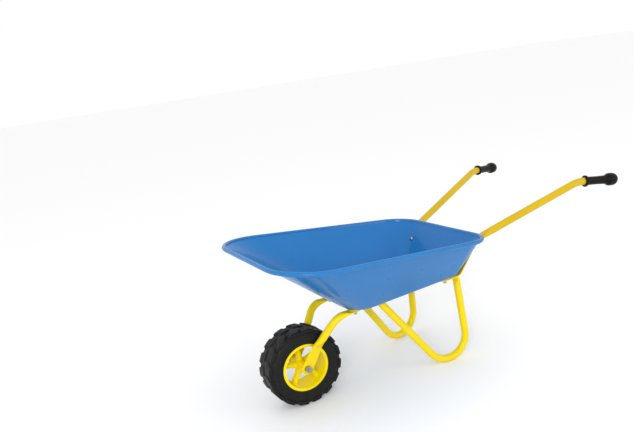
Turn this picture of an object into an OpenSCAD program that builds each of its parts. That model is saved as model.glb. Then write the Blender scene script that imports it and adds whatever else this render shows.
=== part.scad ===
// Child's wheelbarrow: a pressed sheet tray bolted to bent tube legs, forks and handles, and one wheel.
// Millimetres. The origin is on the ground under the middle of the barrow.
// +X runs from the wheel to the handles, +Z is up, +Y is the right hand of the person pushing.

/* [Overall] */
// Length from the front of the tyre to the ends of the grips
overall_l = 820; // [760:5:1000]
// Width over the ends of the two grips
overall_w = 420; // [350:5:520]
// Height of the top of the grip collars
overall_h = 340; // [283:1:420]

/* [Tray] */
// Length of the tray over its rolled rim
tray_l = 478; // [450:2:500]
// Width of the tray over its rim at the front
tray_front_w = 393; // [340:1:440]
// Width of the tray over its rim at the back
tray_back_w = 341; // [320:1:400]
// Height of the rim at the front edge
rim_front_h = 330; // [300:1:360]
// Height of the rim at the back edge
rim_back_h = 266; // [255:1:280]
// How far the front of the rim reaches ahead of the wheel axle
tray_ahead = 72; // [60:1:84]
// Sheet thickness of the tray
sheet_t = 1; // [0.8:0.1:1.6]
// Outer radius of the rolled rim
roll_r = 4.5; // [3.6:0.1:5.4]
// Radius of the rim's front corners
front_corner_r = 95; // [79:1:110]
// Radius of the rim's back corners
back_corner_r = 70; // [58:1:84]
// Height of the underside of the floor at its front end
floor_h = 178.7; // [168:0.1:190]
// Rise of the floor towards the handles, in degrees
floor_tilt = 2.4; // [0:0.1:4]
// Distance from the axle back to the front end of the flat floor
floor_from_axle = 105.7; // [100:0.1:110]
// Length of the flat floor
floor_l = 238; // [225:1:245]
// Width of the flat floor at its front
floor_front_w = 168; // [150:1:190]
// Width of the flat floor at its back
floor_back_w = 196; // [180:1:210]
// Radius where the floor turns up into the walls
floor_edge_r = 12; // [8:0.5:16]

/* [Tubes] */
// Outer diameter of every tube
tube_d = 16; // [13:0.1:19.5]
// Wall of every tube
tube_wall = 1.2; // [0.8:0.1:1.5]
// Thickness of a flattened tube end
tab_t = 3; // [2.4:0.1:3.6]
// Width of a flattened tube end
tab_w = 25; // [21:0.5:30]
// Length over which a tube goes from flat to round
squash_l = 20; // [16:1:24]
// Bend radius at the bottom of each leg
foot_r = 48; // [40:1:58]
// Distance from the axle to the middle of each foot
foot_from_axle = 303; // [295:1:310]
// Lean of the rear uprights from vertical, in degrees
upright_lean = 1.2; // [0:0.1:3]
// Lean of the front braces from vertical, in degrees
brace_lean = 33.4; // [30:0.2:36]
// Outward splay of the legs, in degrees
leg_splay = 4; // [0:0.5:6]
// Distance from the axle to the knee of the forks
fork_knee = 73; // [68:1:76]
// Bend radius of the forks at the knee
fork_bend_r = 34; // [26:1:38]
// Length of the flattened blade above the axle
blade_l = 50; // [40:1:56]
// Height of the flattened strip's top below the rolled rim
under_rim = 4; // [3.5:0.5:7]
// Fall of the grips from level, in degrees
grip_fall = 7; // [0:0.5:12]

/* [Wheel] */
// Diameter over the tread lugs
wheel_d = 160; // [133:1:192]
// Width of the tyre
tyre_w = 55; // [48:1:66]
// Height of the tread lugs
lug_h = 4.5; // [3:0.5:6]
// Lugs in each of the two rows
lugs_per_row = 16; // [12:1:20]
// Diameter of the rim's flanges
rim_flange_d = 99; // [90:1:104]
// Width over the rim's flanges
rim_w = 51; // [42:1:54]
// Number of spokes
spokes = 5; // [3:1:7]
// Diameter of the axle bolt
axle_d = 8; // [6:0.1:9.6]
// Running clearance of the hub on its sleeve, on the radius
hub_gap = 0.08; // [0.05:0.01:0.1]
// Gap between the side of the tyre and the fork blade
fork_gap = 2.5; // [1.5:0.5:5]

/* [Grips] */
// Length of a grip
grip_l = 84; // [76:1:100]
// Diameter of the collar at the inner end
collar_d = 25; // [23:0.5:30]
// Diameter of the ball at the outer end
ball_d = 28; // [25:0.5:34]
// Thickness of the grip over the tube
grip_wall = 1.4; // [1:0.1:2]

/* [Fasteners] */
// Thread diameter of the tray bolts
bolt_d = 5; // [4:0.1:6]
// Distance of the front bolts from the front end of the flat floor
front_bolt_in = 9; // [8:0.5:14]
// Distance of the rear bolts from the back end of the flat floor
rear_bolt_in = 22; // [18:0.5:28]
// Distance between the two front bolts
front_bolt_spacing = 108; // [100:1:116]
// Distance between the two rear bolts
rear_bolt_spacing = 170; // [160:1:176]
// Height of the bolts through the back wall
wall_bolt_h = 228; // [220:1:236]
// Clearance of a bolt in its hole, on the radius
hole_gap = 0.25; // [0.1:0.05:0.5]

/* [Hidden] */

$fn = 64;
hull_fn = 32;
thin = 0.2;                        // thickness of the slices that a hull runs between
bite = 0.3;                        // how far one stretch of a tube runs into the next
slack = 0.1;                       // how far a squashed end lies inside the flat that it runs into
bend_draw = 0.02;                  // how much the diameter changes where a bend or round end starts
reach = 60;                        // length of a cutter that only has to pass through

sheet_blue = [0.16, 0.45, 0.78];
tube_yellow = [0.96, 0.83, 0.05];
zinc = [0.70, 0.71, 0.72];
black = [0.06, 0.06, 0.06];

// ---- Directions and frames ----
function unit(v) = v / norm(v);
function meet_plane(p, dir, point, normal) = p + dir * (((point - p) * normal) / (dir * normal));

// Puts children at origin with their Z along dir and their X as near side as it can be
module aim(origin, dir, side) {
    z = unit(dir);
    y = unit(cross(z, side));
    x = cross(y, z);
    multmatrix([
        [x[0], y[0], z[0], origin[0]],
        [x[1], y[1], z[1], origin[1]],
        [x[2], y[2], z[2], origin[2]],
        [0, 0, 0, 1]
    ]) children();
}

// The child as it is for the right side (+Y), mirrored for the left
module on_side(side) {
    mirror([0, side < 0 ? 1 : 0, 0]) children();
}

module both_sides() {
    for (side = [-1, 1]) on_side(side) children();
}

wheel_r = wheel_d / 2;
tube_r = tube_d / 2;
axle_x = wheel_r - overall_l / 2;

// Floor frame: X up the slope of the floor, Z square to its underside, starting where it goes flat
floor_x = axle_x + floor_from_axle;
floor_along = [cos(floor_tilt), 0, sin(floor_tilt)];
floor_up = [-sin(floor_tilt), 0, cos(floor_tilt)];
function floor_point(s, y, n) = [floor_x, 0, floor_h] + floor_along * s + floor_up * n + [0, y, 0];
module floor_frame() {
    translate([floor_x, 0, floor_h]) rotate([0, -floor_tilt, 0]) children();
}

// Mouth frame: the plane where the walls end and the rolled rim starts
roll_centre = roll_r - 2 * sheet_t; // from the mouth out to the middle of the roll
roll_out = roll_centre + roll_r;   // from the mouth out to the edge of the roll
roll_lap = 1.5;                    // how far the wall runs up into the roll
roll_draw = 0.2;                   // how much thinner the roll is round the corners
mouth_front_x = axle_x - tray_ahead + roll_out;
mouth_back_x = axle_x - tray_ahead + tray_l - roll_out;
rim_tilt = atan((rim_front_h - rim_back_h) / tray_l);
mouth_front_z = rim_front_h - roll_r - roll_centre * sin(rim_tilt);
mouth_l = (mouth_back_x - mouth_front_x) / cos(rim_tilt);
mouth_back = [mouth_back_x, mouth_front_z - mouth_l * sin(rim_tilt)];
module mouth_frame() {
    translate([mouth_front_x, 0, mouth_front_z]) rotate([0, rim_tilt, 0]) children();
}

// Back wall: the line that touches the floor's edge radius and runs to the back of the mouth
edge_centre = floor_point(floor_l, 0, floor_edge_r);
edge_to_mouth = mouth_back - [edge_centre[0], edge_centre[2]];
wall_angle = atan2(edge_to_mouth[1], edge_to_mouth[0]) + asin(floor_edge_r / norm(edge_to_mouth));
wall_up = [cos(wall_angle), 0, sin(wall_angle)];
wall_out = [sin(wall_angle), 0, -cos(wall_angle)];
wall_foot = edge_centre + wall_out * floor_edge_r;
function wall_point(w, y, n) = wall_foot + wall_up * w + wall_out * n + [0, y, 0];
function wall_rise(z) = (z - wall_foot[2]) / wall_up[2];
// Wall frame: X along the width, Y up the wall, Z out of it
module wall_frame() {
    aim(wall_foot, wall_out, [0, 1, 0]) children();
}

// ---- Places of the bolts ----
front_bolt = [front_bolt_in, front_bolt_spacing / 2];
rear_bolt = [floor_l - rear_bolt_in, rear_bolt_spacing / 2];
rear_bolt_x = floor_point(rear_bolt[0], 0, 0)[0];

// ---- Tray ----
front_mouth_r = front_corner_r - roll_out;
back_mouth_r = back_corner_r - roll_out;
front_mouth_y = tray_front_w / 2 - front_corner_r;
back_mouth_y = tray_back_w / 2 - back_corner_r;
// Corners as [x, y, radius], anticlockwise from above, starting at the back on the left
mouth_corners = [
    [mouth_l - back_mouth_r, -back_mouth_y, back_mouth_r],
    [mouth_l - back_mouth_r, back_mouth_y, back_mouth_r],
    [front_mouth_r, front_mouth_y, front_mouth_r],
    [front_mouth_r, -front_mouth_y, front_mouth_r]
];
floor_front_r = 40;                // corner radii of the flat floor
floor_back_r = 12;
floor_front_y = floor_front_w / 2 - floor_front_r;
floor_back_y = floor_back_w / 2 - floor_back_r;
floor_corners = [
    [floor_l - floor_back_r, -floor_back_y, floor_back_r],
    [floor_l - floor_back_r, floor_back_y, floor_back_r],
    [floor_front_r, floor_front_y, floor_front_r],
    [floor_front_r, -floor_front_y, floor_front_r]
];

// Disc of radius r whose lower edge is rounded by edge
module dished_disc(r, edge) {
    rotate_extrude($fn = hull_fn)
        intersection() {
            union() {
                translate([r, 0]) circle(r = edge, $fn = hull_fn);
                translate([0, -edge]) square([r, edge]);
            }
            translate([0, -edge]) square([r + edge, edge]);
        }
}

// Solid bowl whose surface lies skin inside the outer face of the tray
module bowl(skin) {
    hull() {
        floor_frame()
            for (c = floor_corners)
                translate([c[0], c[1], floor_edge_r]) dished_disc(c[2], floor_edge_r - skin);
        mouth_frame()
            for (c = mouth_corners)
                translate([c[0], c[1], 0]) cylinder(r = c[2] - skin, h = roll_lap + skin, $fn = hull_fn);
    }
}

// Direction square to the straight side that leaves corner i, and the side's length
function next_corner(i) = mouth_corners[(i + 1) % 4];
function corner_gap(i) = next_corner(i) - mouth_corners[i];
function corner_span(i) = norm([corner_gap(i)[0], corner_gap(i)[1]]);
function side_angle(i) =
    atan2(corner_gap(i)[1], corner_gap(i)[0]) - 90 - asin(corner_gap(i)[2] / corner_span(i));
function side_l(i) = sqrt(pow(corner_span(i), 2) - pow(corner_gap(i)[2], 2));
function full_turn(a) = a < 0 ? full_turn(a + 360) : a >= 360 ? full_turn(a - 360) : a;

// The rim, rolled tight round a wire: a round bead outside the mouth
module rolled_rim() {
    mouth_frame()
        for (i = [0 : 3]) {
            corner = mouth_corners[i];
            from = side_angle((i + 3) % 4);
            to = side_angle(i);
            translate([corner[0], corner[1], 0]) {
                rotate([0, 0, from])
                    rotate_extrude(angle = full_turn(to - from))
                        translate([corner[2] + roll_centre, 0]) circle(r = roll_r - roll_draw);
                rotate([0, 0, to])
                    translate([corner[2] + roll_centre, -bite, 0])
                        rotate([-90, 0, 0]) cylinder(h = side_l(i) + 2 * bite, r = roll_r);
            }
        }
}

module floor_holes() {
    for (side = [-1, 1], bolt = [front_bolt, rear_bolt])
        floor_frame() translate([bolt[0], side * bolt[1], -reach / 2]) bolt_hole();
}

module wall_holes() {
    for (side = [-1, 1])
        wall_frame() translate([side * wall_bolt[0], wall_bolt[1], -reach / 2]) bolt_hole();
}

module bolt_hole() {
    cylinder(h = reach, d = bolt_d + 2 * hole_gap);
}

module tray() {
    color(sheet_blue)
    difference() {
        union() {
            difference() {
                bowl(0);
                bowl(sheet_t);
            }
            rolled_rim();
        }
        floor_holes();
        wall_holes();
    }
}

// ---- Bent tubes ----
function turn_angle(p, i) = acos(unit(p[i] - p[i - 1]) * unit(p[i + 1] - p[i]));
function tangent_l(p, r, i) = (i == 0 || i == len(p) - 1) ? 0 : r * tan(turn_angle(p, i) / 2);

// Round bar of diameter d along the points p, bent to radius r at every inner point.
// A bend draws the bar thinner by bend_draw, and the straight bars bite into it.
module bent_bar(p, r, d) {
    last = len(p) - 1;
    for (i = [0 : last - 1]) {
        dir = unit(p[i + 1] - p[i]);
        start = p[i] + dir * (tangent_l(p, r, i) - (i > 0 ? bite : 0));
        end = p[i + 1] - dir * (tangent_l(p, r, i + 1) - (i < last - 1 ? bite : 0));
        aim(start, dir, [0, 1, 0]) cylinder(h = norm(end - start), d = d);
    }
    for (i = [1 : last - 1]) {
        u = unit(p[i] - p[i - 1]);
        v = unit(p[i + 1] - p[i]);
        inward = unit(v - u * (u * v));
        centre = p[i] - u * tangent_l(p, r, i) + inward * r;
        aim(centre, cross(-inward, u), -inward)
            rotate_extrude(angle = turn_angle(p, i))
                translate([r, 0]) circle(d = d - bend_draw);
    }
}

module bent_tube(p, r) {
    difference() {
        bent_bar(p, r, tube_d);
        bent_bar(p, r, tube_d - 2 * tube_wall);
    }
}

// Slice in the end of a round tube, where a flattened stretch begins; dir points into the tube
module tube_slice(point, dir) {
    aim(point, dir, [0, 1, 0])
        cylinder(h = bite, d = tube_d - 0.6, $fn = hull_fn);
}

// Flat tab under the floor from the bolt to [s, y], its top face at depth below the floor
module floor_tab(bolt, s, y, depth) {
    floor_frame() translate([0, 0, -depth - tab_t]) {
        translate(bolt) cylinder(h = tab_t, d = tab_w + bend_draw);
        linear_extrude(tab_t) polygon([
            [bolt[0], bolt[1] - tab_w / 2], [s, y - tab_w / 2],
            [s, y + tab_w / 2], [bolt[0], bolt[1] + tab_w / 2]
        ]);
    }
}

// Slice of a tab from s_from to s_to, where a tube starts to leave the floor
module tab_slice(s_from, s_to, y, depth) {
    floor_frame() translate([s_from, y - tab_w / 2, -depth - tab_t])
        cube([s_to - s_from, tab_w, tab_t]);
}

function floor_s(point) = (point - [floor_x, 0, floor_h]) * floor_along;

// ---- Handles, each in one upright plane through its rear floor bolt and its grip ----
collar_to_ball = grip_l - ball_d / 2;
ball_centre = [
    overall_l / 2 - ball_d / 2,
    overall_w / 2 - ball_d / 2,
    overall_h - collar_d / 2 - collar_to_ball * sin(grip_fall)
];
toe_out = atan2(ball_centre[1] - rear_bolt[1], ball_centre[0] - rear_bolt_x);
function handle_y(x) = rear_bolt[1] + (x - rear_bolt_x) * tan(toe_out);
grip_dir = [cos(toe_out) * cos(grip_fall), sin(toe_out) * cos(grip_fall), -sin(grip_fall)];

wall_bolt_w = wall_rise(wall_bolt_h);
wall_bolt = [handle_y(wall_point(wall_bolt_w, 0, 0)[0]), wall_bolt_w];
// Where the line of the strip meets the line of the tube, low enough to pass under the roll
root_z = mouth_back[1] - roll_r - under_rim - tab_t / 2;
root_flat = wall_point(wall_rise(root_z), 0, tab_t / 2);
root = [root_flat[0], handle_y(root_flat[0]), root_flat[2]];
elbow_run = 16;                    // from the grip's mouth back to the point of the elbow
elbow = ball_centre - grip_dir * (collar_to_ball + elbow_run);
rise_dir = unit(elbow - root);
handle_turn = acos(rise_dir * grip_dir);
handle_bend_r = (elbow_run - 1) / tan(handle_turn / 2);
bend_lap = tab_t / 2 * tan(acos(wall_up * rise_dir) / 2);
strip_top = wall_rise(root_z) + bend_lap;
flat_run = 18;                     // flat stretch that passes under the roll
round_start = root + rise_dir * (flat_run + squash_l);
tube_stop = ball_centre - grip_dir * ball_d / 4;
corner_y = handle_y(edge_centre[0]);

// Frame of the flat that passes under the roll: Z along it, X across it
module flat_frame() {
    aim(root, rise_dir, [0, 1, 0]) children();
}

module handle() {
    color(tube_yellow)
    difference() {
        union() {
            bent_tube([round_start, elbow, tube_stop], handle_bend_r);
            hull() {
                tube_slice(round_start, rise_dir);
                flat_frame() translate([0, 0, flat_run])
                    cube([tab_w - 2 * slack, tab_t - 2 * slack, 2 * bite], center = true);
            }
            flat_frame() translate([-tab_w / 2, -tab_t / 2, -bend_lap])
                cube([tab_w, tab_t, flat_run + bend_lap + bite / 2]);
            wall_frame() linear_extrude(tab_t) polygon([
                [corner_y - tab_w / 2, -bite], [corner_y + tab_w / 2, -bite],
                [root[1] + tab_w / 2, strip_top], [root[1] - tab_w / 2, strip_top]
            ]);
            floor_frame() translate([floor_l, corner_y + tab_w / 2, floor_edge_r])
                rotate([90, 0, 0]) rotate([0, 0, -90])
                    rotate_extrude(angle = wall_angle - floor_tilt)
                        translate([floor_edge_r, 0]) square([tab_t, tab_w]);
            floor_tab(rear_bolt, floor_l + bite, corner_y, 0);
        }
        floor_holes();
        wall_holes();
    }
}

// ---- Legs, each in one plane through both floor bolts, splayed outwards ----
rear_tab = floor_point(rear_bolt[0], rear_bolt[1], -1.5 * tab_t);
front_tab = floor_point(front_bolt[0], front_bolt[1], -0.5 * tab_t);
leg_side = unit(cross(front_tab - rear_tab, [0, sin(leg_splay), -cos(leg_splay)]));
leg_up = unit([0, 0, 1] - leg_side * leg_side[2]);
leg_front = cross(leg_side, leg_up) * (cross(leg_side, leg_up)[0] < 0 ? 1 : -1);
foot_z = foot_r * leg_up[2] + tube_r;
foot_x = axle_x + foot_from_axle;
foot_y = rear_tab[1]
    - (leg_side[0] * (foot_x - rear_tab[0]) + leg_side[2] * (foot_z - rear_tab[2])) / leg_side[1];
foot_centre = [foot_x, foot_y, foot_z];
function leg_dir(lean) = leg_front * sin(lean) + leg_up * cos(lean);
half_foot = (brace_lean - upright_lean) / 2;
foot_vertex = foot_centre
    - leg_dir((brace_lean + upright_lean) / 2) * foot_r / sin(half_foot);
upright_top = meet_plane(foot_vertex, leg_dir(upright_lean), rear_tab, floor_up);
brace_top = meet_plane(foot_vertex, leg_dir(brace_lean), front_tab, floor_up);
upright_s = floor_s(upright_top);
brace_s = floor_s(brace_top);

module leg() {
    upright_round = upright_top - leg_dir(upright_lean) * squash_l;
    brace_round = brace_top - leg_dir(brace_lean) * squash_l;
    color(tube_yellow)
    difference() {
        union() {
            bent_tube([upright_round, foot_vertex, brace_round], foot_r);
            hull() {
                tube_slice(upright_round, -leg_dir(upright_lean));
                tab_slice(upright_s - tube_r, upright_s + tab_t, upright_top[1], tab_t);
            }
            hull() {
                tube_slice(brace_round, -leg_dir(brace_lean));
                tab_slice(brace_s - tab_t, brace_s + tube_r, brace_top[1], 0);
            }
            floor_tab(rear_bolt, upright_s - tube_r + thin, upright_top[1], tab_t);
            floor_tab(front_bolt, brace_s, brace_top[1], 0);
        }
        floor_holes();
    }
}

// ---- Forks ----
blade_in = tyre_w / 2 + fork_gap;  // inner face of a blade from the middle of the barrow
axle_end = [axle_x, blade_in + tab_t / 2, wheel_r];
knee = floor_point(fork_knee - floor_from_axle, front_bolt[1], -1.5 * tab_t);
blade_dir = unit([knee[0] - axle_x, 0, knee[2] - wheel_r]);
blade_top = axle_end + blade_dir * blade_l;
fork_dir = unit(knee - blade_top);
fork_round = blade_top + fork_dir * squash_l;
knee_turn = acos(fork_dir * floor_along);
fork_tab_s = fork_knee - floor_from_axle + fork_bend_r * tan(knee_turn / 2);

fork_tab_end = front_bolt[0] - tab_w / 2 - 1; // clear of the leg's tab, which lies above

module blade_frame() {
    aim([axle_x, blade_in, wheel_r], [0, 1, 0], blade_dir) children();
}

module fork() {
    round_end = floor_point(fork_tab_s + 1, front_bolt[1], -1.5 * tab_t);
    color(tube_yellow)
    difference() {
        union() {
            bent_tube([fork_round, knee, round_end], fork_bend_r);
            hull() {
                tube_slice(fork_round, fork_dir);
                blade_frame() translate([blade_l - bite, 0, tab_t / 2])
                    cube([2 * bite, tab_w - 2 * slack, tab_t - 2 * slack], center = true);
            }
            hull() {
                tube_slice(round_end, -floor_along);
                floor_frame() translate([fork_tab_end + bite, front_bolt[1], -1.5 * tab_t])
                    cube([2 * bite, tab_w - 2 * slack, tab_t - 2 * slack], center = true);
            }
            blade_frame() {
                cylinder(h = tab_t, d = tab_w + bend_draw);
                translate([0, -tab_w / 2, 0]) cube([blade_l, tab_w, tab_t]);
            }
            floor_tab(front_bolt, fork_tab_end, front_bolt[1], tab_t);
        }
        floor_holes();
        wheel_frame() translate([0, 0, -reach]) cylinder(h = 2 * reach, d = axle_d + 2 * hole_gap);
    }
}

// ---- Grips ----
collar_t = 5;                      // thickness of the collar

module grip() {
    body_r = tube_r + grip_wall;
    color(black)
    aim(ball_centre, -grip_dir, [0, 0, 1])
        difference() {
            union() {
                sphere(d = ball_d);
                cylinder(h = collar_to_ball, r = body_r);
                translate([0, 0, collar_to_ball - collar_t])
                    cylinder(h = collar_t, d = collar_d);
                translate([0, 0, collar_to_ball - 2 * collar_t])
                    cylinder(h = collar_t, r1 = body_r, r2 = body_r + grip_wall);
            }
            translate([0, 0, ball_d / 4]) cylinder(h = reach * 2, d = tube_d);
        }
}

// ---- Wheel: Z of its frame lies along the axle, and its Y points down ----
module wheel_frame() {
    translate([axle_x, 0, wheel_r]) rotate([-90, 0, 0]) children();
}

carcass_r = wheel_r - lug_h;
flange_r = rim_flange_d / 2;
flange_t = 2.5;                    // thickness of each flange of the rim
barrel_wall = 3;                   // thickness of the rim's barrel
barrel_r = flange_r - 3;           // outside of the barrel, where the tyre sits
tyre_wall = 5;                     // thickness of the tyre's tread and sidewalls
shoulder_r = 6;                    // rounding of the tyre's shoulders
hub_r = 10;
sleeve_wall = 2;
sleeve_r = axle_d / 2 + sleeve_wall;

// Rectangle from radius low to high, half as wide as half_w each way, its outer corners rounded by r
module ring_section(low, high, half_w, r) {
    translate([low, -half_w]) square([high - low - r, 2 * half_w]);
    translate([high - r - thin, -half_w + r]) square([r + thin, 2 * (half_w - r)]);
    for (side = [-1, 1])
        intersection() {
            translate([high - r, side * (half_w - r)]) circle(r = r);
            translate([high - r, -half_w]) square([r, 2 * half_w]);
        }
}

module lug_row(side) {
    pitch = 360 / lugs_per_row;
    lug_w = 0.42 * PI * wheel_d / lugs_per_row;
    for (i = [0 : lugs_per_row - 1])
        rotate([0, 0, (i + (side > 0 ? 0 : 0.5)) * pitch + 90])
            translate([carcass_r, 0, 0]) rotate([side * 18, 0, 0])
                translate([-2, -lug_w / 2, side > 0 ? 1 : -tyre_w]) cube([2 * lug_h + 2, lug_w, tyre_w - 1]);
}

module tyre() {
    color(black)
    wheel_frame()
        difference() {
            union() {
                rotate_extrude($fn = 128)
                    ring_section(barrel_r, carcass_r, tyre_w / 2, shoulder_r);
                intersection() {
                    rotate_extrude($fn = 128)
                        ring_section(carcass_r - 4, wheel_r, tyre_w / 2, shoulder_r);
                    union() {
                        lug_row(1);
                        lug_row(-1);
                    }
                }
            }
            rotate_extrude($fn = 128) {
                for (side = [-1, 1])
                    translate([0, side > 0 ? rim_w / 2 - flange_t : -reach])
                        square([flange_r, reach - rim_w / 2 + flange_t]);
                translate([0, -(rim_w / 2 - 2 * flange_t)])
                    square([carcass_r - tyre_wall, rim_w - 4 * flange_t]);
            }
        }
}

module rim() {
    hub_half = blade_in - 0.5;
    color(tube_yellow)
    wheel_frame()
        difference() {
            union() {
                rotate_extrude($fn = 128) {
                    translate([barrel_r - barrel_wall, -rim_w / 2]) square([barrel_wall, rim_w]);
                    for (side = [-1, 1])
                        translate([barrel_r - barrel_wall, side > 0 ? rim_w / 2 - flange_t : -rim_w / 2])
                            square([flange_r - barrel_r + barrel_wall, flange_t]);
                }
                translate([0, 0, -hub_half]) cylinder(h = 2 * hub_half, r = hub_r);
                for (i = [0 : spokes - 1])
                    rotate([0, 0, i * 360 / spokes - 94]) rotate([0, 90, 0])
                        translate([0, 0, hub_r / 2])
                            cylinder(h = barrel_r - barrel_wall / 2 - hub_r / 2, r1 = 6.5, r2 = 5.5);
            }
            translate([0, 0, -reach]) cylinder(h = 2 * reach, r = sleeve_r + hub_gap);
        }
}

module axle_sleeve() {
    color(zinc)
    wheel_frame()
        difference() {
            translate([0, 0, -blade_in]) cylinder(h = 2 * blade_in, r = sleeve_r);
            translate([0, 0, -reach]) cylinder(h = 2 * reach, d = axle_d + 2 * hub_gap);
        }
}

axle_face = blade_in + tab_t;      // outer face of a blade
axle_nut_h = 7;
axle_head_h = 5.3;

module axle_bolt() {
    color(zinc)
    wheel_frame() {
        translate([0, 0, axle_face]) cylinder(h = axle_head_h, d = hex_corners(axle_d), $fn = 6);
        translate([0, 0, -axle_face - axle_nut_h - 2])
            cylinder(h = 2 * axle_face + axle_nut_h + 2 + thin, d = axle_d);
    }
}

module axle_nut() {
    color(zinc)
    wheel_frame()
        translate([0, 0, -axle_face - axle_nut_h]) hex_nut(axle_d, axle_nut_h);
}

// Distance over the corners of a hexagon for a thread
function hex_corners(thread) = thread * 1.625 / cos(30);

module hex_nut(thread, h) {
    difference() {
        cylinder(h = h, d = hex_corners(thread), $fn = 6);
        translate([0, 0, -1]) cylinder(h = h + 2, d = thread);
    }
}

// ---- Tray fasteners: Z points into the tray from the outer face of the sheet ----
washer_t = 1;
head_h = 2.8;
nut_h = bolt_d * 0.94;
wall_curve = 2.2;                  // the back wall curves in beside these bolts, towards its corners

module at_front_bolts() {
    both_sides() floor_frame() translate(front_bolt) children();
}

module at_rear_bolts() {
    both_sides() floor_frame() translate(rear_bolt) children();
}

module at_wall_bolts() {
    both_sides() wall_frame() translate(wall_bolt) rotate([180, 0, 0]) children();
}

// Pan-head bolt that clamps a stack of tabs, washer and nut against the sheet, its head lifted by lift
module tray_bolt(stack, lift) {
    color(zinc) {
        translate([0, 0, sheet_t + lift]) cylinder(h = head_h, r1 = bolt_d * 0.95, r2 = bolt_d * 0.6);
        translate([0, 0, -stack - washer_t - nut_h - 2])
            cylinder(h = sheet_t + lift + stack + washer_t + nut_h + 2 + thin, d = bolt_d);
    }
}

module tray_washer(stack) {
    color(zinc)
    translate([0, 0, -stack - washer_t])
        difference() {
            cylinder(h = washer_t, r = bolt_d);
            translate([0, 0, -1]) cylinder(h = washer_t + 2, d = bolt_d + 2 * hole_gap);
        }
}

module tray_nut(stack) {
    color(zinc)
    translate([0, 0, -stack - washer_t - nut_h]) hex_nut(bolt_d, nut_h);
}

tray();
on_side(-1) handle();  // handle_left
on_side(1) handle();  // handle_right
on_side(-1) leg();  // leg_left
on_side(1) leg();  // leg_right
on_side(-1) fork();  // fork_left
on_side(1) fork();  // fork_right
on_side(-1) grip();  // grip_left
on_side(1) grip();  // grip_right
tyre();
rim();
axle_sleeve();
axle_bolt();
axle_nut();
at_front_bolts() tray_bolt(2 * tab_t, 0.02);  // front_floor_bolts
at_front_bolts() tray_washer(2 * tab_t);  // front_floor_washers
at_front_bolts() tray_nut(2 * tab_t);  // front_floor_nuts
at_rear_bolts() tray_bolt(2 * tab_t, 0.02);  // rear_floor_bolts
at_rear_bolts() tray_washer(2 * tab_t);  // rear_floor_washers
at_rear_bolts() tray_nut(2 * tab_t);  // rear_floor_nuts
at_wall_bolts() tray_bolt(tab_t, wall_curve);  // wall_bolts
at_wall_bolts() tray_washer(tab_t);  // wall_washers
at_wall_bolts() tray_nut(tab_t);  // wall_nuts
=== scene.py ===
import math

import bmesh
import bpy
from mathutils import Matrix, Vector


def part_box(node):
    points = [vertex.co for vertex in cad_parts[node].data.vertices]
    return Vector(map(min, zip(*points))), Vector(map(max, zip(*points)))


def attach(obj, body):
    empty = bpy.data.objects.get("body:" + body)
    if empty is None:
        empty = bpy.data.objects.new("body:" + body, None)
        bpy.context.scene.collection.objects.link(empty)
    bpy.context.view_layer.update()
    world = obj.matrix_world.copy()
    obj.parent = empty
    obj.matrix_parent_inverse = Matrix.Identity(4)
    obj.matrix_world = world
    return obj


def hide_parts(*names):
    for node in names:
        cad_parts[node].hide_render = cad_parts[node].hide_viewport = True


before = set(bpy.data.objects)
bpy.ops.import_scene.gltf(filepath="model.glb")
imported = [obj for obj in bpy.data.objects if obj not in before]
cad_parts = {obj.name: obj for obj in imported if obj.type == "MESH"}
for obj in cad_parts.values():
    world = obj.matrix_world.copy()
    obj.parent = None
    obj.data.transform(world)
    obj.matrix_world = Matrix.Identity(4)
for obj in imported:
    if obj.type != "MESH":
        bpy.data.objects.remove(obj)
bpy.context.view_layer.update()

# ---------------------------------------------------------------- sizes, in metres
MM = 0.001
TUBE_R = 8 * MM
TAB_T = 3 * MM
TAB_W = 25 * MM
SHEET = 1 * MM
ROLL_R = 4.5 * MM
MOUTH_FRONT_W = 393 * MM
MOUTH_BACK_W = 341 * MM
MOUTH_FRONT_R = 95 * MM
MOUTH_BACK_R = 70 * MM
RIM_FRONT_H = 330 * MM
RIM_BACK_H = 266 * MM
TRAY_L = 478 * MM
FLOOR_FRONT_W = 168 * MM
FLOOR_BACK_W = 196 * MM
FLOOR_FRONT_R = 40 * MM
FLOOR_BACK_R = 12 * MM
TYRE_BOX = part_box("tyre")
AXLE = (TYRE_BOX[0] + TYRE_BOX[1]) / 2
TYRE_HALF = (TYRE_BOX[1].y - TYRE_BOX[0].y) / 2
Y = Vector((0, 1, 0))


def deg(a):
    return math.radians(a)


# ---------------------------------------------------------------- camera
def make_camera():
    yaw, pitch, roll = deg(30.63), deg(18.35), deg(-8.45)
    ahead = Vector((math.sin(yaw) * math.cos(pitch), math.cos(yaw) * math.cos(pitch), -math.sin(pitch)))
    right = Vector((math.cos(yaw), -math.sin(yaw), 0))
    up = right.cross(ahead)
    right_r = math.cos(roll) * right + math.sin(roll) * up
    up_r = -math.sin(roll) * right + math.cos(roll) * up
    data = bpy.data.cameras.new("camera")
    cam = bpy.data.objects.new("camera", data)
    bpy.context.scene.collection.objects.link(cam)
    turn = Matrix((right_r, up_r, -ahead)).transposed().to_4x4()
    turn.translation = Vector((-0.76406, -1.12844, 0.64902))
    cam.matrix_world = turn
    data.sensor_width = 36
    data.lens = 36.456
    data.shift_x = -0.10974
    data.shift_y = 0.08432
    data.clip_start, data.clip_end = 0.01, 50
    bpy.context.scene.camera = cam
    # plain contrast, without the film curve that greys strong colours
    bpy.context.scene.view_settings.view_transform = "Standard"


make_camera()


# ---------------------------------------------------------------- materials
def new_material(name, color, roughness, metallic=0.0):
    mat = bpy.data.materials.new(name)
    mat.use_nodes = True
    shader = mat.node_tree.nodes["Principled BSDF"]
    shader.inputs["Base Color"].default_value = (*color, 1)
    shader.inputs["Roughness"].default_value = roughness
    shader.inputs["Metallic"].default_value = metallic
    return mat, mat.node_tree, shader


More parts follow.
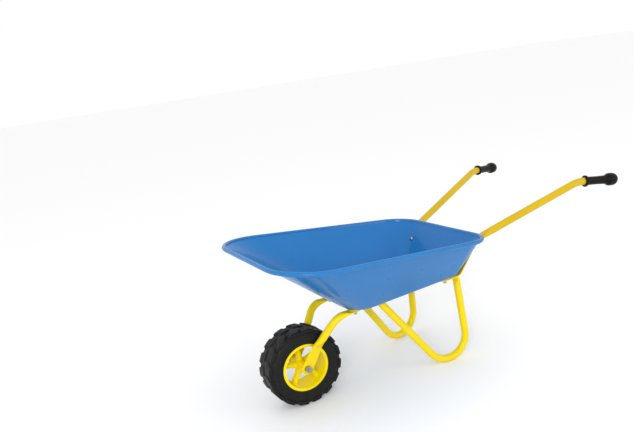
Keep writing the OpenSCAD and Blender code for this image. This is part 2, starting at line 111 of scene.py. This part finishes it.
def noise(tree, scale, detail=4.0, rough=0.55):
    coords = tree.nodes.new("ShaderNodeTexCoord")
    tex = tree.nodes.new("ShaderNodeTexNoise")
    tex.inputs["Scale"].default_value = scale
    tex.inputs["Detail"].default_value = detail
    tex.inputs["Roughness"].default_value = rough
    tree.links.new(coords.outputs["Object"], tex.inputs["Vector"])
    return tex.outputs["Fac"]


def spread(tree, value, low, high):
    """Maps the middle of a noise to the range low..high."""
    node = tree.nodes.new("ShaderNodeMapRange")
    node.inputs["From Min"].default_value = 0.3
    node.inputs["From Max"].default_value = 0.7
    node.inputs["To Min"].default_value = low
    node.inputs["To Max"].default_value = high
    tree.links.new(value, node.inputs["Value"])
    return node.outputs["Result"]


def tint(tree, shader, value, dark, light):
    ramp = tree.nodes.new("ShaderNodeValToRGB")
    ramp.color_ramp.elements[0].position = 0.3
    ramp.color_ramp.elements[0].color = (*dark, 1)
    ramp.color_ramp.elements[1].position = 0.7
    ramp.color_ramp.elements[1].color = (*light, 1)
    tree.links.new(value, ramp.inputs["Fac"])
    tree.links.new(ramp.outputs["Color"], shader.inputs["Base Color"])


def bump(tree, shader, height, strength, distance, below=None):
    node = tree.nodes.new("ShaderNodeBump")
    node.inputs["Strength"].default_value = strength
    node.inputs["Distance"].default_value = distance
    tree.links.new(height, node.inputs["Height"])
    if below is not None:
        tree.links.new(below, node.inputs["Normal"])
    tree.links.new(node.outputs["Normal"], shader.inputs["Normal"])
    return node.outputs["Normal"]


def paint(name, dark, light, roughness):
    """Enamel: faint tone changes, slow waves and a clear gloss on top."""
    mat, tree, shader = new_material(name, light, roughness)
    tint(tree, shader, noise(tree, 9, 3), dark, light)
    tree.links.new(spread(tree, noise(tree, 60, 5), roughness - 0.04, roughness + 0.08),
                   shader.inputs["Roughness"])
    shader.inputs["Specular IOR Level"].default_value = 0.12
    shader.inputs["Coat Weight"].default_value = 0.30
    shader.inputs["Coat Roughness"].default_value = 0.06
    bump(tree, shader, noise(tree, 14, 2), 0.12, 0.0015)
    return mat


blue = paint("blue_enamel", (0.012, 0.160, 0.435), (0.015, 0.170, 0.460), 0.30)
# darker copy of the blue enamel: painted shade for the band just under the rolled rim and in the crevice
# behind it
painted_shade_blue = paint("blue_enamel_painted_shade_under_roll", (0.003, 0.022, 0.080), (0.003, 0.030, 0.100), 0.45)
yellow = paint("yellow_enamel", (0.780, 0.590, 0.0), (0.840, 0.640, 0.0), 0.30)
# darker copy of the frame's yellow enamel: painted shade on the handles, which are the same yellow tube
shaded_yellow = paint("yellow_enamel_handles_painted_shade", (0.560, 0.370, 0.0), (0.610, 0.410, 0.0), 0.30)


def rim_plastic():
    mat, tree, shader = new_material("yellow_plastic", (0.82, 0.6, 0.0), 0.38)
    shader.inputs["Specular IOR Level"].default_value = 0.1
    tint(tree, shader, noise(tree, 30, 3), (0.80, 0.64, 0.0), (0.86, 0.70, 0.0))
    tree.links.new(spread(tree, noise(tree, 180, 4), 0.34, 0.46), shader.inputs["Roughness"])
    bump(tree, shader, noise(tree, 700, 3), 0.08, 0.0003)
    return mat


def rubber(name, dark, light, rough_low, rough_high, grain):
    mat, tree, shader = new_material(name, light, rough_high)
    shader.inputs["Specular IOR Level"].default_value = 0.14
    tint(tree, shader, noise(tree, 40, 4), dark, light)
    tree.links.new(spread(tree, noise(tree, 90, 5), rough_low, rough_high), shader.inputs["Roughness"])
    fine = bump(tree, shader, noise(tree, grain, 4), 0.25, 0.0004)
    bump(tree, shader, noise(tree, 70, 3), 0.12, 0.0010, fine)
    return mat


def zinc_plate():
    mat, tree, shader = new_material("zinc", (0.55, 0.56, 0.58), 0.32, 1.0)
    tint(tree, shader, noise(tree, 160, 4), (0.26, 0.27, 0.29), (0.46, 0.47, 0.50))
    tree.links.new(spread(tree, noise(tree, 500, 4), 0.22, 0.42), shader.inputs["Roughness"])
    bump(tree, shader, noise(tree, 1500, 2), 0.15, 0.0001)
    return mat


yellow_rim = rim_plastic()
tyre_black = rubber("tyre_rubber", (0.008, 0.008, 0.0075), (0.014, 0.013, 0.013), 0.40, 0.58, 900)
grip_black = rubber("grip_rubber", (0.003, 0.0025, 0.002), (0.005, 0.004, 0.003), 0.28, 0.42, 1200)
zinc = zinc_plate()


# ---------------------------------------------------------------- mesh helpers
def add_mesh(name, verts, faces, material, body, smooth_angle=35):
    data = bpy.data.meshes.new(name)
    data.from_pydata([tuple(v) for v in verts], [], faces)
    bm = bmesh.new()
    bm.from_mesh(data)
    bmesh.ops.remove_doubles(bm, verts=bm.verts, dist=1e-7)
    bmesh.ops.recalc_face_normals(bm, faces=bm.faces)
    bm.to_mesh(data)
    bm.free()
    obj = bpy.data.objects.new(name, data)
    bpy.context.scene.collection.objects.link(obj)
    data.materials.append(material)
    if smooth_angle:
        data.shade_smooth()
        data.set_sharp_from_angle(angle=deg(smooth_angle))
    if body:
        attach(obj, body)
    return obj


def loft(rings, closed_ends=True, closed_loop=False):
    """Vertices and faces of a tube through rings of equal length."""
    n = len(rings[0])
    verts = [p for ring in rings for p in ring]
    faces = []
    count = len(rings)
    for i in range(count if closed_loop else count - 1):
        a, b = i * n, ((i + 1) % count) * n
        for j in range(n):
            k = (j + 1) % n
            faces.append((a + j, a + k, b + k, b + j))
    if closed_ends and not closed_loop:
        faces.append(tuple(range(n - 1, -1, -1)))
        faces.append(tuple((count - 1) * n + j for j in range(n)))
    return verts, faces


def smoothstep(t):
    t = min(max(t, 0.0), 1.0)
    return t * t * (3 - 2 * t)


# ---------------------------------------------------------------- the tray's planes, as in the CAD
FLOOR_TILT = deg(2.4)
AXLE_X = AXLE.x
FLOOR_X = AXLE_X + 105.7 * MM
FLOOR_H = 178.7 * MM
FLOOR_L = 238 * MM
EDGE_R = 12 * MM
ALONG = Vector((math.cos(FLOOR_TILT), 0, math.sin(FLOOR_TILT)))
FLOOR_UP = Vector((-math.sin(FLOOR_TILT), 0, math.cos(FLOOR_TILT)))


def floor_point(s, y, n):
    return Vector((FLOOR_X, y, FLOOR_H)) + ALONG * s + FLOOR_UP * n


TRAY_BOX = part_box("tray")
ROLL_CENTRE = ROLL_R - 2 * SHEET
ROLL_OUT = ROLL_CENTRE + ROLL_R
RIM_TILT = math.atan((RIM_FRONT_H - RIM_BACK_H) / TRAY_L)
MOUTH_X0 = TRAY_BOX[0].x + ROLL_OUT
MOUTH_X1 = TRAY_BOX[0].x + TRAY_L - ROLL_OUT
MOUTH_Z0 = RIM_FRONT_H - ROLL_R - ROLL_CENTRE * math.sin(RIM_TILT)
MOUTH_L = (MOUTH_X1 - MOUTH_X0) / math.cos(RIM_TILT)
MOUTH_ALONG = Vector((math.cos(RIM_TILT), 0, -math.sin(RIM_TILT)))
MOUTH_UP = Vector((math.sin(RIM_TILT), 0, math.cos(RIM_TILT)))


def mouth_point(s, y, n):
    return Vector((MOUTH_X0, y, MOUTH_Z0)) + MOUTH_ALONG * s + MOUTH_UP * n


MOUTH_BACK = mouth_point(MOUTH_L, 0, 0)


def outline(corners, arc_steps, side_steps):
    """Points, with the outward direction at each, round four corners [x, y, radius] joined by tangents."""
    out = []
    for i in range(4):
        before, here, after = corners[i - 1], corners[i], corners[(i + 1) % 4]

        def side(a, b):
            span = math.hypot(b[0] - a[0], b[1] - a[1])
            return math.atan2(b[1] - a[1], b[0] - a[0]) - math.pi / 2 - math.asin((b[2] - a[2]) / span)

        start, stop = side(before, here), side(here, after)
        turn = (stop - start) % (2 * math.pi)
        for k in range(arc_steps + 1):
            a = start + turn * k / arc_steps
            out.append(((here[0] + here[2] * math.cos(a), here[1] + here[2] * math.sin(a)),
                        (math.cos(a), math.sin(a))))
        p = out[-1][0]
        q = (after[0] + after[2] * math.cos(stop), after[1] + after[2] * math.sin(stop))
        for k in range(1, side_steps):
            t = k / side_steps
            out.append(((p[0] + (q[0] - p[0]) * t, p[1] + (q[1] - p[1]) * t),
                        (math.cos(stop), math.sin(stop))))
    return out


def tray():
    front_y = MOUTH_FRONT_W / 2 - MOUTH_FRONT_R
    back_y = MOUTH_BACK_W / 2 - MOUTH_BACK_R
    front_r = MOUTH_FRONT_R - ROLL_OUT
    back_r = MOUTH_BACK_R - ROLL_OUT
    mouth = outline([(MOUTH_L - back_r, -back_y, back_r), (MOUTH_L - back_r, back_y, back_r),
                     (front_r, front_y, front_r), (front_r, -front_y, front_r)], 20, 14)
    ff, fb = FLOOR_FRONT_R, FLOOR_BACK_R
    floor_front_y, floor_back_y = FLOOR_FRONT_W / 2 - ff, FLOOR_BACK_W / 2 - fb
    floor = outline([(FLOOR_L - fb, -floor_back_y, fb), (FLOOR_L - fb, floor_back_y, fb),
                     (ff, floor_front_y, ff), (ff, -floor_front_y, ff)], 20, 14)
    columns = []
    for (m, mn), (f, fn) in zip(mouth, floor):
        top = mouth_point(m[0], m[1], 0)
        centre = floor_point(f[0], f[1], EDGE_R)
        reach = top - centre
        rise = reach.dot(FLOOR_UP)
        side = reach - FLOOR_UP * rise
        away = side.normalized()
        angle = math.atan2(rise, side.length) + math.asin(EDGE_R / reach.length)
        wall = away * math.cos(angle) + FLOOR_UP * math.sin(angle)
        out = away * math.sin(angle) - FLOOR_UP * math.cos(angle)
        foot = centre + out * EDGE_R
        n_out = (MOUTH_ALONG * mn[0] + Y * mn[1]).normalized()
        ring = []
        # outside, from the floor's edge up to the roll
        steps = 8
        for k in range(steps + 1):
            a = angle * k / steps
            ring.append(centre + (away * math.sin(a) - FLOOR_UP * math.cos(a)) * EDGE_R)
        for t in (0.2, 0.4, 0.6, 0.8, 0.92, 0.94):
            ring.append(foot.lerp(top, t))
        # the next bands, from just under the roll up into the crevice, get painted shade: the darker blue
        # material
        shade_band_from = len(ring) - 1
        shade_band_to = len(ring) + 3
        bead = top + n_out * ROLL_CENTRE
        c, s = -wall.dot(n_out), -wall.dot(MOUTH_UP)
        # the sheet's edge curls back to a narrow gap beside the wall
        low = math.atan2(s * 3.4 * MM, -ROLL_CENTRE + c * 3.4 * MM + 1.2 * MM)
        ring += [top - wall * 3.6 * MM, top - wall * 2.2 * MM, top - wall * 2.2 * MM + n_out * 1.0 * MM]
        start = low % (2 * math.pi)
        stop = deg(160)
        turn = (stop - start) % (2 * math.pi)
        for k in range(19):
            a = start + turn * k / 18
            ring.append(bead + n_out * (math.cos(a) * ROLL_R) + MOUTH_UP * (math.sin(a) * ROLL_R))
        inner_top = top - out * SHEET
        ring.append(inner_top + n_out * (-0.9 * MM) - MOUTH_UP * 1.2 * MM)
        inner_foot = centre + out * (EDGE_R - SHEET)
        for t in (0.93, 0.8, 0.6, 0.4, 0.2):
            ring.append(inner_foot.lerp(inner_top, t))
        for k in range(steps + 1):
            a = angle * (1 - k / steps)
            ring.append(centre + (away * math.sin(a) - FLOOR_UP * math.cos(a)) * (EDGE_R - SHEET))
        columns.append(ring)
    n, rows = len(columns), len(columns[0])
    verts = [p for col in columns for p in col]
    faces, bands = [], []
    for i in range(n):
        j = (i + 1) % n
        for k in range(rows - 1):
            faces.append((i * rows + k, j * rows + k, j * rows + k + 1, i * rows + k + 1))
            bands.append(k)
    faces.append(tuple(i * rows for i in range(n)))
    faces.append(tuple(i * rows + rows - 1 for i in reversed(range(n))))
    obj = add_mesh("tray_sheet", verts, faces, blue, "frame", 40)
    # painted shade: the band under the roll and its crevice take the darker blue material
    obj.data.materials.append(painted_shade_blue)
    for poly, k in zip(obj.data.polygons, bands):
        poly.material_index = 1 if shade_band_from <= k < shade_band_to else 0
    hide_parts("tray")
    return obj


# ---------------------------------------------------------------- bent and flattened tubes
def bent_path(points, radii, step=3 * MM):
    """Points every step or so along straight stretches with an arc at every inner point."""
    out = [points[0]]

    def line_to(q):
        p = out[-1]
        n = max(1, round((q - p).length / step))
        for k in range(1, n + 1):
            out.append(p.lerp(q, k / n))

    for i in range(1, len(points) - 1):
        u = (points[i] - points[i - 1]).normalized()
        v = (points[i + 1] - points[i]).normalized()
        turn = u.angle(v)
        if turn < deg(0.5):
            continue
        tangent = radii[i] * math.tan(turn / 2)
        line_to(points[i] - u * tangent)
        inward = (v - u * u.dot(v)).normalized()
        centre = points[i] - u * tangent + inward * radii[i]
        n = max(3, math.ceil(turn * radii[i] / step), math.ceil(turn / deg(6)))
        for k in range(1, n + 1):
            a = turn * k / n
            out.append(centre - inward * (radii[i] * math.cos(a)) + u * (radii[i] * math.sin(a)))
    line_to(points[-1])
    return out


def section(half_w, half_t, n=40):
    """A superellipse that grows squarer as the tube is squashed."""
    squash = 1 - half_t / half_w
    power = 2 + 6 * squash * squash
    ring = []
    for k in range(n):
        a = 2 * math.pi * (k + 0.5) / n
        c, s = math.cos(a), math.sin(a)
        x = math.copysign(abs(c) ** (2 / power), c) * half_w
        y = math.copysign(abs(s) ** (2 / power), s) * half_t
        ring.append((x, y))
    return ring


def tube(name, path, wide_start, wide_end, flat_start, flat_end, squash, node,
         round_start=True, round_end=True):
    """Tube along path, flat for flat_start and flat_end at its ends, over squash metres."""
    dist = [0.0]
    for a, b in zip(path, path[1:]):
        dist.append(dist[-1] + (b - a).length)
    total = dist[-1]
    rings = []
    # a flattened end is cut round: extra rings close to the tip
    stations = []
    for i, p in enumerate(path):
        t = (path[min(i + 1, len(path) - 1)] - path[max(i - 1, 0)]).normalized()
        stations.append((p, t, dist[i]))
    extra = []
    for tip, sign in ((0, 1), (len(path) - 1, -1)):
        if (tip == 0 and not round_start) or (tip and not round_end):
            continue
        p, t, d = stations[tip]
        for f in (0.02, 0.06, 0.14, 0.26, 0.42, 0.6, 0.8):
            extra.append((p + t * sign * f * TAB_W / 2, t, d + sign * f * TAB_W / 2))
    stations = sorted(stations + extra, key=lambda s: s[2])
    kept = [stations[0]]
    for s in stations[1:]:
        if s[2] - kept[-1][2] > 0.05 * MM:
            kept.append(s)
    for p, t, d in kept:
        f = smoothstep((d - flat_start) / squash) if flat_start >= 0 else 1.0
        g = smoothstep((total - d - flat_end) / squash) if flat_end >= 0 else 1.0
        roundness = min(f, g)
        half_w = TAB_W / 2 + (TUBE_R - TAB_W / 2) * roundness
        half_t = TAB_T / 2 + (TUBE_R - TAB_T / 2) * roundness
        for use, from_tip in ((round_start, d), (round_end, total - d)):
            if use and from_tip < TAB_W / 2:
                inset = TAB_W / 2 - from_tip
                half_w = max(math.sqrt(max((TAB_W / 2) ** 2 - inset ** 2, 0)), 0.6 * MM)
        blend = smoothstep(d / total)
        wide = wide_start.lerp(wide_end, blend)
        wide = (wide - t * wide.dot(t)).normalized()
        thin = t.cross(wide)
        rings.append([p + wide * x + thin * y for x, y in section(half_w, half_t)])
    verts, faces = loft(rings)
    # handle tubes get the darker yellow copy: painted shade
    obj = add_mesh(name, verts, faces, shaded_yellow if node.startswith("handle") else yellow, "frame", 50)
    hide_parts(node)
    return obj


def sided(p, side):
    return Vector((p[0], p[1] * side, p[2]))


FRONT_BOLT = (9 * MM, 54 * MM)
REAR_BOLT = (FLOOR_L - 22 * MM, 85 * MM)

# the handles' lines, on the right side
GRIP_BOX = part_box("grip_right")
BALL_R = 14 * MM
GRIP_FALL = deg(7)
COLLAR_TO_BALL = 84 * MM - BALL_R
BALL = Vector((GRIP_BOX[1].x - BALL_R, GRIP_BOX[1].y - BALL_R,
               340 * MM - 12.5 * MM - COLLAR_TO_BALL * math.sin(GRIP_FALL)))
REAR_BOLT_X = floor_point(REAR_BOLT[0], 0, 0).x
TOE = math.atan2(BALL.y - REAR_BOLT[1], BALL.x - REAR_BOLT_X)


def handle_y(x):
    return REAR_BOLT[1] + (x - REAR_BOLT_X) * math.tan(TOE)


GRIP_DIR = Vector((math.cos(TOE) * math.cos(GRIP_FALL),
                   math.sin(TOE) * math.cos(GRIP_FALL), -math.sin(GRIP_FALL)))
EDGE_C = floor_point(FLOOR_L, 0, EDGE_R)
TO_MOUTH = MOUTH_BACK - EDGE_C
WALL_ANGLE = math.atan2(TO_MOUTH.z, TO_MOUTH.x) + math.asin(EDGE_R / TO_MOUTH.length)
WALL_UP = Vector((math.cos(WALL_ANGLE), 0, math.sin(WALL_ANGLE)))
WALL_OUT = Vector((math.sin(WALL_ANGLE), 0, -math.cos(WALL_ANGLE)))
WALL_FOOT = EDGE_C + WALL_OUT * EDGE_R


def wall_point(w, y, n):
    return WALL_FOOT + WALL_UP * w + WALL_OUT * n + Y * y


ROOT_Z = MOUTH_BACK.z - ROLL_R - 4 * MM - TAB_T / 2
ROOT = wall_point((ROOT_Z - WALL_FOOT.z) / WALL_UP.z, 0, TAB_T / 2)
ROOT.y = handle_y(ROOT.x)
ELBOW_RUN = 16 * MM
ELBOW = BALL - GRIP_DIR * (COLLAR_TO_BALL + ELBOW_RUN)
RISE = (ELBOW - ROOT).normalized()
HANDLE_R = (ELBOW_RUN - 1 * MM) / math.tan(RISE.angle(GRIP_DIR) / 2)


def handle(name, side):
    tip = floor_point(REAR_BOLT[0], REAR_BOLT[1], -TAB_T / 2) - ALONG * (TAB_W / 2)
    bend = wall_point(0, handle_y(EDGE_C.x), TAB_T / 2)
    corner = bend - WALL_UP * ((EDGE_R + TAB_T / 2) * math.tan((WALL_ANGLE - FLOOR_TILT) / 2))
    points = [tip, corner, ROOT, ELBOW, BALL - GRIP_DIR * 8 * MM]
    points = [sided(p, side) for p in points]
    path = bent_path(points, [0, EDGE_R + TAB_T / 2, 5 * MM, HANDLE_R, 0])
    flat = (points[1] - points[0]).length + (points[2] - points[1]).length + 12 * MM
    return tube(name + "_tube", path, Y, Y, flat, -1, 34 * MM, name, round_end=False)


# the legs' lines
REAR_TAB = floor_point(REAR_BOLT[0], REAR_BOLT[1], -1.5 * TAB_T)
FRONT_TAB = floor_point(FRONT_BOLT[0], FRONT_BOLT[1], -0.5 * TAB_T)
LEG_SIDE = (FRONT_TAB - REAR_TAB).cross(Vector((0, math.sin(deg(4)), -math.cos(deg(4))))).normalized()
LEG_UP = (Vector((0, 0, 1)) - LEG_SIDE * LEG_SIDE.z).normalized()
LEG_FRONT = LEG_SIDE.cross(LEG_UP)
if LEG_FRONT.x > 0:
    LEG_FRONT = -LEG_FRONT
FOOT_R = 48 * MM
FOOT_Z = FOOT_R * LEG_UP.z + TUBE_R
FOOT_X = AXLE_X + 303 * MM
FOOT_DRIFT = LEG_SIDE.x * (FOOT_X - REAR_TAB.x) + LEG_SIDE.z * (FOOT_Z - REAR_TAB.z)
FOOT_Y = REAR_TAB.y - FOOT_DRIFT / LEG_SIDE.y
FOOT = Vector((FOOT_X, FOOT_Y, FOOT_Z))


def leg_dir(lean):
    return LEG_FRONT * math.sin(lean) + LEG_UP * math.cos(lean)


def meet_floor(p, direction, through):
    return p + direction * ((through - p).dot(FLOOR_UP) / direction.dot(FLOOR_UP))


UPRIGHT, BRACE = deg(1.2), deg(33.4)
VERTEX = FOOT - leg_dir((UPRIGHT + BRACE) / 2) * (FOOT_R / math.sin((BRACE - UPRIGHT) / 2))
UPRIGHT_TOP = meet_floor(VERTEX, leg_dir(UPRIGHT), REAR_TAB)
BRACE_TOP = meet_floor(VERTEX, leg_dir(BRACE), FRONT_TAB)


def leg(name, side):
    rear_run = (UPRIGHT_TOP - REAR_TAB)
    front_run = (BRACE_TOP - FRONT_TAB)
    points = [REAR_TAB - rear_run.normalized() * (TAB_W / 2), UPRIGHT_TOP, VERTEX, BRACE_TOP,
              FRONT_TAB - front_run.normalized() * (TAB_W / 2)]
    points = [sided(p, side) for p in points]
    path = bent_path(points, [0, 9 * MM, FOOT_R, 14 * MM, 0])
    rear_flat = (points[1] - points[0]).length - 6 * MM
    front_flat = (points[4] - points[3]).length - 10 * MM
    return tube(name + "_tube", path, Y, Y, rear_flat, front_flat, 26 * MM, name)


# the forks' lines
BLADE_IN = 30 * MM
AXLE_END = Vector((AXLE_X, BLADE_IN + TAB_T / 2, AXLE.z))
KNEE = floor_point((73 - 105.7) * MM, FRONT_BOLT[1], -1.5 * TAB_T)
BLADE_DIR = Vector((KNEE.x - AXLE_X, 0, KNEE.z - AXLE.z)).normalized()
BLADE_TOP = AXLE_END + BLADE_DIR * 50 * MM


def fork(name, side):
    end = floor_point(FRONT_BOLT[0], FRONT_BOLT[1], -1.5 * TAB_T) + ALONG * (TAB_W / 2)
    points = [AXLE_END - BLADE_DIR * (TAB_W / 2), BLADE_TOP, KNEE, end]
    points = [sided(p, side) for p in points]
    path = bent_path(points, [0, 30 * MM, 40 * MM, 0])
    across = Vector((-BLADE_DIR.z, 0, BLADE_DIR.x))
    return tube(name + "_tube", path, across, -Y, (50 + 4) * MM, 22 * MM, 26 * MM, name)


# ---------------------------------------------------------------- grips
def lathe(profile, origin, axis, side_dir, n=72):
    """Rings for a profile of (distance along axis, radius)."""
    z = axis.normalized()
    x = (side_dir - z * side_dir.dot(z)).normalized()
    y = z.cross(x)
    rings = []
    for along, r in profile:
        rings.append([origin + z * along + x * (r * math.cos(2 * math.pi * k / n))
                      + y * (r * math.sin(2 * math.pi * k / n)) for k in range(n)])
    return rings


def smooth_profile(points, steps=6):
    """Catmull-Rom through (along, radius) points."""
    out = []
    for i in range(len(points) - 1):
        p0 = points[max(i - 1, 0)]
        p1, p2 = points[i], points[i + 1]
        p3 = points[min(i + 2, len(points) - 1)]
        for k in range(steps):
            t = k / steps
            out.append(tuple(
                0.5 * (2 * b + (c - a) * t + (2 * a - 5 * b + 4 * c - d) * t * t
                       + (3 * b - a - 3 * c + d) * t ** 3)
                for a, b, c, d in zip(p0, p1, p2, p3)))
    out.append(points[-1])
    return out


def grip(name, side):
    """Moulded grip: a collar, a waisted body and a bulb; 0 is the inner face of the collar."""
    origin = sided(BALL - GRIP_DIR * COLLAR_TO_BALL, side)
    axis = sided(GRIP_DIR, side)
    body = [(5.0, 10.3), (7.5, 9.6), (14, 9.2), (30, 9.0), (46, 9.3), (53, 10.0), (56.5, 11.3)]
    bulb = [(56.5, 11.3), (58.5, 12.9), (62, 13.8), (67, 14.0), (72, 13.6), (76.5, 12.3), (80.3, 9.6),
            (82.8, 6.0), (83.8, 2.6), (84.0, 0.3)]
    collar = [(0, 8.1), (0, 11.6), (0.3, 12.2), (1.0, 12.5), (4.0, 12.5), (4.7, 12.2), (5.0, 11.6)]
    profile = collar + smooth_profile(body)[:-1] + smooth_profile(bulb)
    rings = lathe([(a * MM, r * MM) for a, r in profile], origin, axis, Vector((0, 0, 1)))
    verts, faces = loft(rings)
    obj = add_mesh(name + "_rubber", verts, faces, grip_black, "frame", 45)
    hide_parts(name)
    return obj


# ---------------------------------------------------------------- wheel
def around(profile, n):
    """Rings round the axle for a closed profile of (y, radius), as columns."""
    columns = []
    for k in range(n):
        a = 2 * math.pi * k / n
        columns.append([Vector((AXLE.x + r * math.sin(a), y, AXLE.z + r * math.cos(a))) for y, r in profile])
    return columns


def tyre():
    """Hollow tyre with two rows of slanting lugs that wrap the shoulders."""
    lugs = 16
    n = 32 * lugs
    inner = [(-23.5, 46.8), (-21, 48.5), (-18, 52), (-16, 60), (-14, 66), (0, 68), (14, 66), (16, 60),
             (18, 52), (21, 48.5), (23.5, 46.8)]
    side = [(24.6, 47.6), (25.2, 49.6), (26.0, 50.6), (26.5, 52.0), (26.6, 54.0), (26.9, 55.0), (27.2, 57.5),
            (27.35, 62), (27.3, 66.5), (26.9, 68.8), (26.1, 70.4), (25.2, 71.4), (24.8, 72.1)]
    # from the shoulder to the middle: (y, radius) in a groove and on a lug
    tread = [((24.7, 72.9), (25.0, 72.7)), ((24.7, 73.7), (26.3, 73.1)), ((24.6, 74.5), (27.1, 73.9)),
             ((24.4, 75.3), (27.4, 75.1)), ((24.1, 76.1), (27.4, 76.7)), ((23.7, 76.8), (27.1, 78.1)),
             ((23.0, 77.3), (26.4, 79.2)), ((22.0, 77.6), (25.4, 79.7)), ((20.8, 77.8), (23.8, 79.9)),
             ((19.2, 77.9), (21.6, 80.0))]
    tread += [((y, 77.9), (y, 80.0)) for y in (17.8, 15.6, 13.2, 10.8, 8.4, 6.0, 4.0, 2.0)]

    def lug(a, y):
        """1 on a lug, 0 in a groove."""
        row = 0.0 if y > 0 else 0.5
        lean = 0.34 * (abs(y) / TYRE_HALF)
        phase = (a / (2 * math.pi) * lugs + row + lean + 0.05 * math.sin(abs(y) * 330)) % 1.0
        wide = 0.34
        away = abs(phase - 0.5)
        soft = 0.09
        up = smoothstep((wide - away) / soft + 0.5)
        rib = smoothstep((abs(y) - 0.0016) / 0.002)
        return up * rib

    columns = []
    for k in range(n):
        a = 2 * math.pi * k / n
        ring = []

        def put(y, r):
            ring.append(Vector((AXLE.x + r * math.sin(a), y, AXLE.z + r * math.cos(a))))

        for y, r in inner:
            put(y * MM, r * MM)
        for sign in (1, -1):
            flank = list(side)
            for (y0, r0), (y1, r1) in tread:
                h = lug(a, sign * y1 * MM)
                flank.append((y0 + (y1 - y0) * h, r0 + (r1 - r0) * h))
            for y, r in flank if sign > 0 else reversed(flank):
                put(sign * y * MM, r * MM)
        columns.append(ring)
    verts, faces = loft(columns, closed_loop=True)
    obj = add_mesh("tyre_rubber", verts, faces, tyre_black, "wheel", 60)
    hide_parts("tyre")
    return obj


def rim():
    barrel = [(-25.5, 44.0), (-25.5, 48.9), (-25.2, 49.4), (-24.4, 49.5), (-23.4, 49.0),
              (-22.9, 46.6), (22.9, 46.6), (23.4, 49.0), (24.4, 49.5), (25.2, 49.4),
              (25.5, 48.9), (25.5, 44.4), (25.0, 44.0), (20, 43.2),
              (0, 42.6), (-20, 43.2), (-25.0, 44.0)]
    columns = around([(y * MM, r * MM) for y, r in barrel], 144)
    verts, faces = loft(columns, closed_loop=True)
    hoop = add_mesh("rim_barrel", verts, faces, yellow_rim, "wheel", 40)
    parts = [hoop]
    hub = [(-29.5, 6.1), (-29.5, 9.4), (-29.0, 10.0), (-14, 11.2), (0, 12.4),
           (14, 11.2), (29.0, 10.0), (29.5, 9.4), (29.5, 6.1)]
    verts, faces = loft(around([(y * MM, r * MM) for y, r in hub], 72), closed_loop=True)
    parts.append(add_mesh("rim_hub", verts, faces, yellow_rim, "wheel", 40))
    for k in range(5):
        a = 2 * math.pi * k / 5 - deg(4)
        out = Vector((math.sin(a), 0, math.cos(a)))
        across = Vector((math.cos(a), 0, -math.sin(a)))
        rings = []
        # radius, half width and half depth along a spoke
        for r, w, d in ((8, 8.2, 9.5), (11, 7.6, 9.2), (15, 6.6, 8.4), (22, 6.0, 7.4), (30, 5.8, 7.0),
                        (36, 6.2, 7.6), (40, 7.4, 9.2), (42.4, 9.6, 12.0), (43.6, 12.0, 14.0)):
            rings.append([AXLE + out * r * MM + across * (w * MM * math.cos(t)) + Y * (d * MM * math.sin(t))
                          for t in (2 * math.pi * j / 28 for j in range(28))])
        verts, faces = loft(rings)
        parts.append(add_mesh(f"rim_spoke_{k + 1}", verts, faces, yellow_rim, "wheel", 50))
    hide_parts("rim")
    return parts


# ---------------------------------------------------------------- assembly
tray()
for label, sign in (("left", -1), ("right", 1)):
    handle("handle_" + label, sign)
    leg("leg_" + label, sign)
    fork("fork_" + label, sign)
    grip("grip_" + label, sign)
tyre()
rim()

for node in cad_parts:
    if node.startswith(("axle", "front_floor", "rear_floor", "wall")):
        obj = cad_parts[node]
        obj.data.materials.clear()
        obj.data.materials.append(zinc)


# ---------------------------------------------------------------- floor and light
def stage():
    verts = [(-30, -30, 0), (30, -30, 0), (30, 30, 0), (-30, 30, 0)]
    pale = new_material("floor_white", (0.96, 0.96, 0.96), 0.9)[0]
    floor = add_mesh("floor", verts, [(0, 1, 2, 3)], pale, None, 0)
    world = bpy.data.worlds.new("studio")
    world.use_nodes = True
    back = world.node_tree.nodes["Background"]
    back.inputs["Color"].default_value = (1, 1, 1, 1)
    back.inputs["Strength"].default_value = 1.0
    bpy.context.scene.world = world


def area_light(name, place, target, size, power, size_y=None):
    data = bpy.data.lights.new(name, "AREA")
    data.energy = power
    data.size = size
    if size_y:
        data.shape = "RECTANGLE"
        data.size_y = size_y
    obj = bpy.data.objects.new(name, data)
    obj.location = place
    obj.rotation_mode = "QUATERNION"
    obj.rotation_quaternion = (Vector(target) - Vector(place)).to_track_quat("-Z", "Y")
    bpy.context.scene.collection.objects.link(obj)
    return obj


stage()
area_light("key", (-1.9, -2.4, 1.5), (0, 0, 0.2), 0.9, 34)
area_light("fill", (1.6, -2.6, 1.2), (0, 0, 0.2), 1.2, 9)
